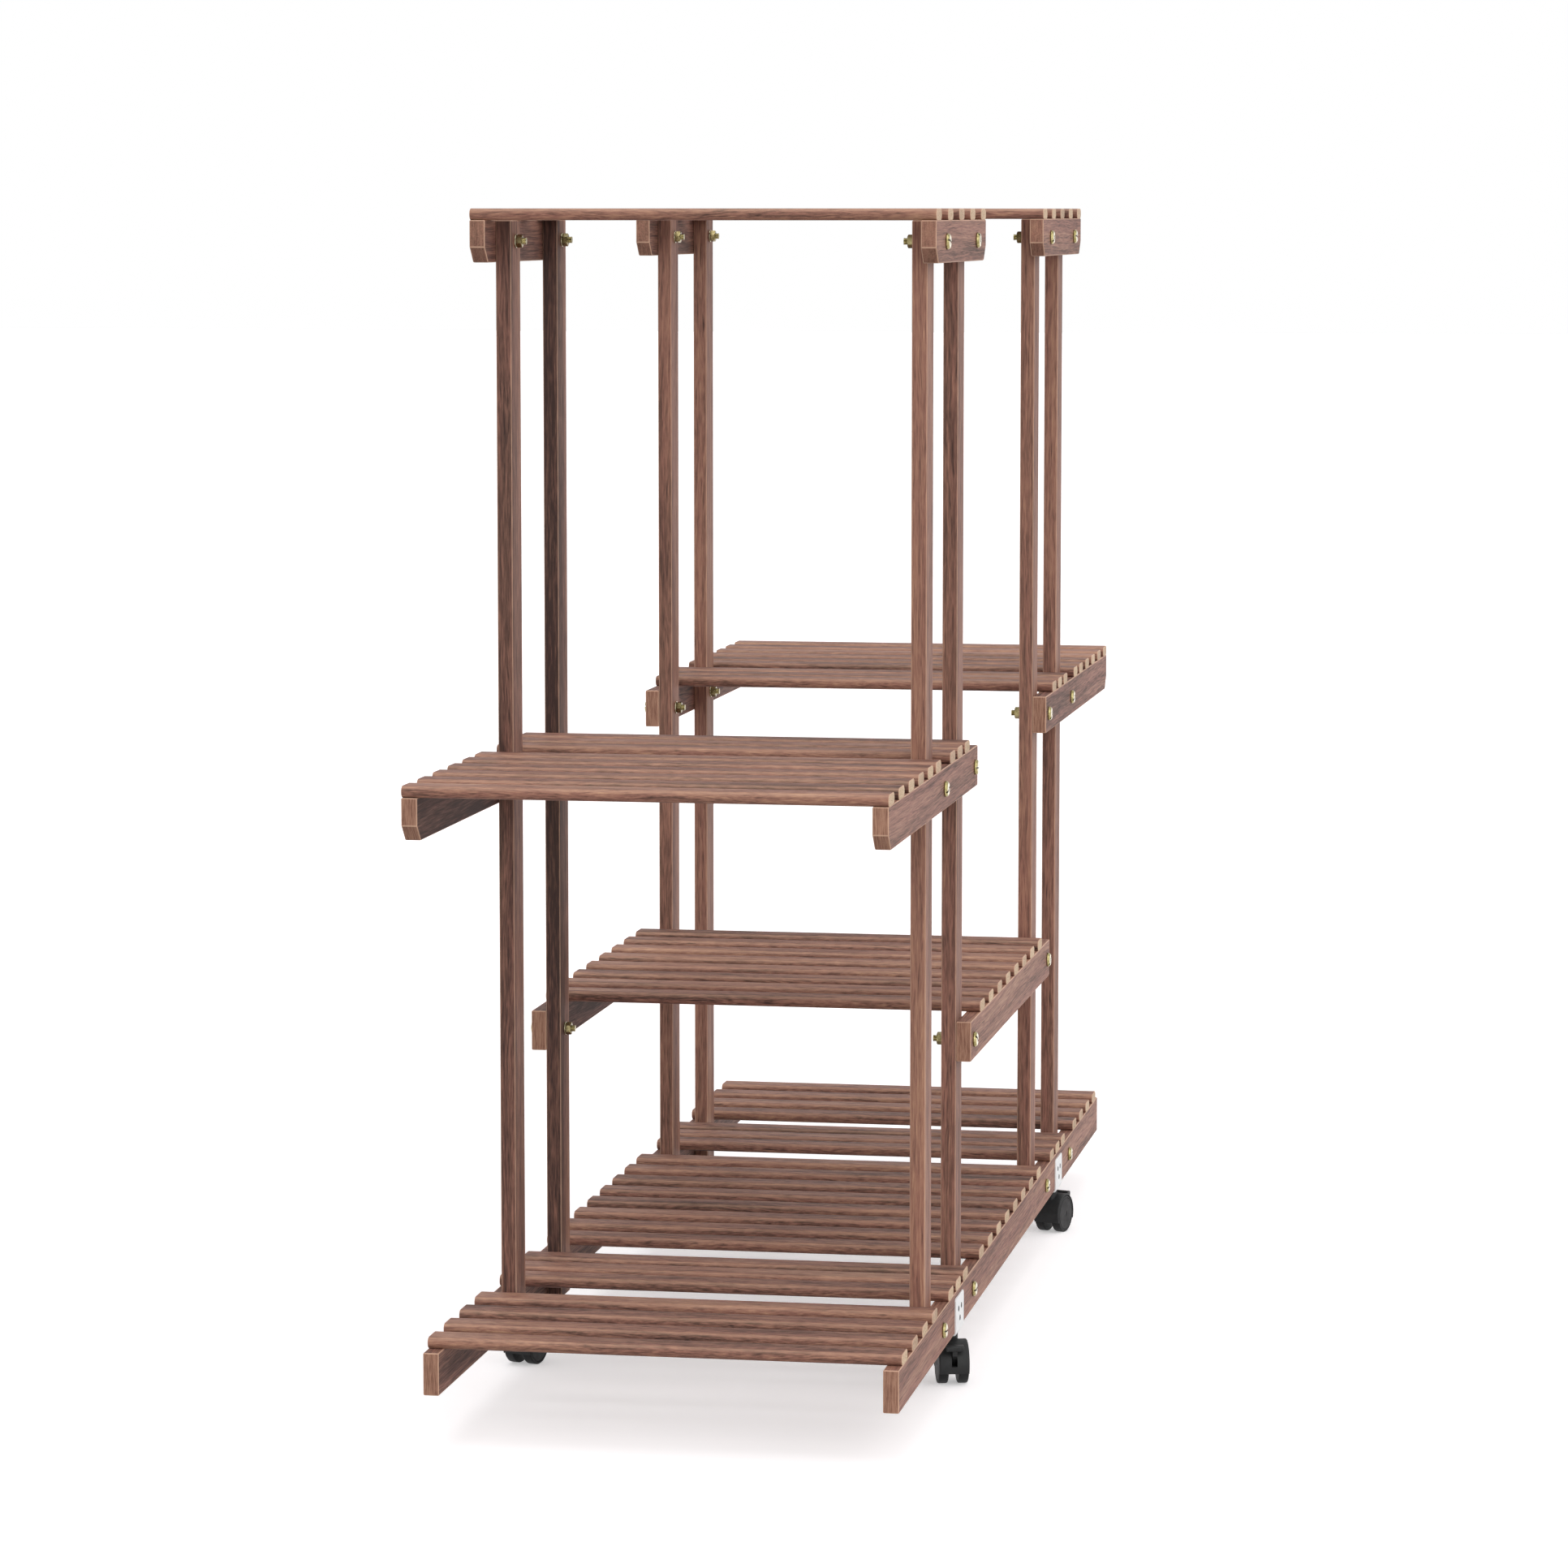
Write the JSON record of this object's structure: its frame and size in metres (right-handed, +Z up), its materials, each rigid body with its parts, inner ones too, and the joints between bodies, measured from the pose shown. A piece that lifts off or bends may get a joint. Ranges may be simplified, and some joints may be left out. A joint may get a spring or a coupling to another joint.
{
  "type": "flower cart stand",
  "caption": "Long wooden plant stand on swivelling twin-wheel casters: a slatted deck, two towers with top shelves, two overhanging shelves and a lower shelf between them.",
  "frame": {"origin": "middle of the footprint on the floor, under the middle of the stand", "axes": "+X along the slats to the right, +Y along the rails to the far end, +Z up"},
  "size_m": [0.4272, 1.508, 1.027],
  "materials": {
    "stained_wood": "satin",
    "yellow_zinc": "bright yellow passivated zinc",
    "white_bracket": "smooth white powder coat",
    "caster_plastic": "fine textured",
    "wheel_plastic": "satin"
  },
  "bodies": {
    "stand": {"bottom_deck": "stained_wood", "centre_shelf": "stained_wood", "near_shelf": "stained_wood", "far_shelf": "stained_wood", "near_top_shelf": "stained_wood", "far_top_shelf": "stained_wood", "post_left_1": "stained_wood", "post_left_2": "stained_wood", "post_left_3": "stained_wood", "post_left_4": "stained_wood", "post_right_1": "stained_wood", "post_right_2": "stained_wood", "post_right_3": "stained_wood", "post_right_4": "stained_wood", "bolt_bottom_deck_left_1": "yellow_zinc", "bolt_bottom_deck_left_2": "yellow_zinc", "bolt_bottom_deck_left_3": "yellow_zinc", "bolt_bottom_deck_left_4": "yellow_zinc", "bolt_bottom_deck_right_1": "yellow_zinc", "bolt_bottom_deck_right_2": "yellow_zinc", "bolt_bottom_deck_right_3": "yellow_zinc", "bolt_bottom_deck_right_4": "yellow_zinc", "bolt_centre_shelf_left_2": "yellow_zinc", "bolt_centre_shelf_left_3": "yellow_zinc", "bolt_centre_shelf_right_2": "yellow_zinc", "bolt_centre_shelf_right_3": "yellow_zinc", "bolt_near_shelf_left_1": "yellow_zinc", "bolt_near_shelf_left_2": "yellow_zinc", "bolt_near_shelf_right_1": "yellow_zinc", "bolt_near_shelf_right_2": "yellow_zinc", "bolt_far_shelf_left_3": "yellow_zinc", "bolt_far_shelf_left_4": "yellow_zinc", "bolt_far_shelf_right_3": "yellow_zinc", "bolt_far_shelf_right_4": "yellow_zinc", "bolt_near_top_shelf_left_1": "yellow_zinc", "bolt_near_top_shelf_left_2": "yellow_zinc", "bolt_near_top_shelf_right_1": "yellow_zinc", "bolt_near_top_shelf_right_2": "yellow_zinc", "bolt_far_top_shelf_left_3": "yellow_zinc", "bolt_far_top_shelf_left_4": "yellow_zinc", "bolt_far_top_shelf_right_3": "yellow_zinc", "bolt_far_top_shelf_right_4": "yellow_zinc", "bracket_near_left": "white_bracket", "bracket_near_right": "white_bracket", "bracket_far_left": "white_bracket", "bracket_far_right": "white_bracket"},
    "caster_near_left": {"caster_near_left_hood": "caster_plastic"},
    "wheel_near_left_a": {"caster_near_left_wheel_a": "wheel_plastic"},
    "wheel_near_left_b": {"caster_near_left_wheel_b": "wheel_plastic"},
    "caster_near_right": {"caster_near_right_hood": "caster_plastic"},
    "wheel_near_right_a": {"caster_near_right_wheel_a": "wheel_plastic"},
    "wheel_near_right_b": {"caster_near_right_wheel_b": "wheel_plastic"},
    "lever_near_right": {"caster_near_right_brake_lever": "caster_plastic"},
    "caster_far_left": {"caster_far_left_hood": "caster_plastic"},
    "wheel_far_left_a": {"caster_far_left_wheel_a": "wheel_plastic"},
    "wheel_far_left_b": {"caster_far_left_wheel_b": "wheel_plastic"},
    "caster_far_right": {"caster_far_right_hood": "caster_plastic"},
    "wheel_far_right_a": {"caster_far_right_wheel_a": "wheel_plastic"},
    "wheel_far_right_b": {"caster_far_right_wheel_b": "wheel_plastic"},
    "lever_far_right": {"caster_far_right_brake_lever": "caster_plastic"}
  },
  "joints": [
    {"name": "near_left_swivel", "type": "hinge", "parent": "stand", "child": "caster_near_left", "pos_m": [-0.19325, -0.352, 0.04475], "axis": [0, 0, 1], "continuous": true},
    {"name": "near_left_wheel_a_spin", "type": "hinge", "parent": "caster_near_left", "child": "wheel_near_left_a", "pos_m": [-0.1911, -0.3443, 0.0185], "axis": [0.9632, -0.2689, 0], "continuous": true},
    {"name": "near_left_wheel_b_spin", "type": "hinge", "parent": "caster_near_left", "child": "wheel_near_left_b", "pos_m": [-0.1911, -0.3443, 0.0185], "axis": [0.9632, -0.2689, 0], "continuous": true},
    {"name": "near_right_swivel", "type": "hinge", "parent": "stand", "child": "caster_near_right", "pos_m": [0.19325, -0.352, 0.04475], "axis": [0, 0, 1], "continuous": true},
    {"name": "near_right_wheel_a_spin", "type": "hinge", "parent": "caster_near_right", "child": "wheel_near_right_a", "pos_m": [0.1954, -0.3597, 0.0185], "axis": [-0.9632, -0.2689, 0], "continuous": true},
    {"name": "near_right_wheel_b_spin", "type": "hinge", "parent": "caster_near_right", "child": "wheel_near_right_b", "pos_m": [0.1954, -0.3597, 0.0185], "axis": [-0.9632, -0.2689, 0], "continuous": true},
    {"name": "near_right_brake", "type": "hinge", "parent": "caster_near_right", "child": "lever_near_right", "pos_m": [0.19796, -0.36885, 0.0215], "axis": [-0.9632, -0.2689, 0], "range_deg": [-25, 0]},
    {"name": "far_left_swivel", "type": "hinge", "parent": "stand", "child": "caster_far_left", "pos_m": [-0.19325, 0.352, 0.04475], "axis": [0, 0, 1], "continuous": true},
    {"name": "far_left_wheel_a_spin", "type": "hinge", "parent": "caster_far_left", "child": "wheel_far_left_a", "pos_m": [-0.1954, 0.3443, 0.0185], "axis": [-0.9632, 0.2689, 0], "continuous": true},
    {"name": "far_left_wheel_b_spin", "type": "hinge", "parent": "caster_far_left", "child": "wheel_far_left_b", "pos_m": [-0.1954, 0.3443, 0.0185], "axis": [-0.9632, 0.2689, 0], "continuous": true},
    {"name": "far_right_swivel", "type": "hinge", "parent": "stand", "child": "caster_far_right", "pos_m": [0.19325, 0.352, 0.04475], "axis": [0, 0, 1], "continuous": true},
    {"name": "far_right_wheel_a_spin", "type": "hinge", "parent": "caster_far_right", "child": "wheel_far_right_a", "pos_m": [0.1954, 0.3597, 0.0185], "axis": [0.9632, -0.2689, 0], "continuous": true},
    {"name": "far_right_wheel_b_spin", "type": "hinge", "parent": "caster_far_right", "child": "wheel_far_right_b", "pos_m": [0.1954, 0.3597, 0.0185], "axis": [0.9632, -0.2689, 0], "continuous": true},
    {"name": "far_right_brake", "type": "hinge", "parent": "caster_far_right", "child": "lever_far_right", "pos_m": [0.19796, 0.36885, 0.0215], "axis": [0.9632, -0.2689, 0], "range_deg": [-25, 0]}
  ]
}
